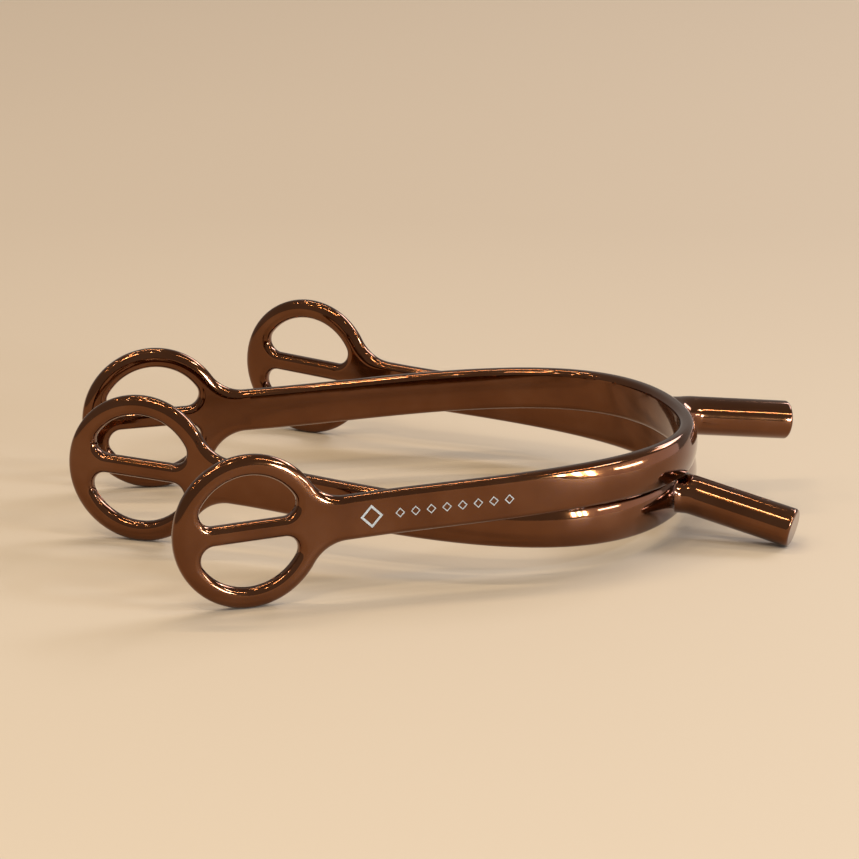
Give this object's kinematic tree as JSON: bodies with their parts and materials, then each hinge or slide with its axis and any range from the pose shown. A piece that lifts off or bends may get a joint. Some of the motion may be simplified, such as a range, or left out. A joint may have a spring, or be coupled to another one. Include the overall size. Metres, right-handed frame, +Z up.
{
  "type": "spurs",
  "caption": "Pair of plain riding spurs with U-shaped heel bands, round bent necks and slotted round strap eyes, one resting on the other.",
  "frame": {"origin": "middle of the pair's box on the surface that it lies on", "axes": "+X is the long way of the pair, towards the necks; +Y is across, from the left spur to the right spur; +Z is up"},
  "size_m": [0.128, 0.1208, 0.026],
  "materials": {
    "coated_metal": "glossy brown metallic coating over polished steel"
  },
  "bodies": {
    "right_spur": {"right_heel_band": "coated_metal", "right_neck": "coated_metal", "right_outer_eye": "coated_metal", "right_inner_eye": "coated_metal"},
    "left_spur": {"left_heel_band": "coated_metal", "left_neck": "coated_metal", "left_outer_eye": "coated_metal", "left_inner_eye": "coated_metal"}
  },
  "joints": [
    {"name": "left_spur_lift", "type": "slide", "parent": "right_spur", "child": "left_spur", "axis": [0, 0, 1], "range_m": [0, 0.06]}
  ]
}
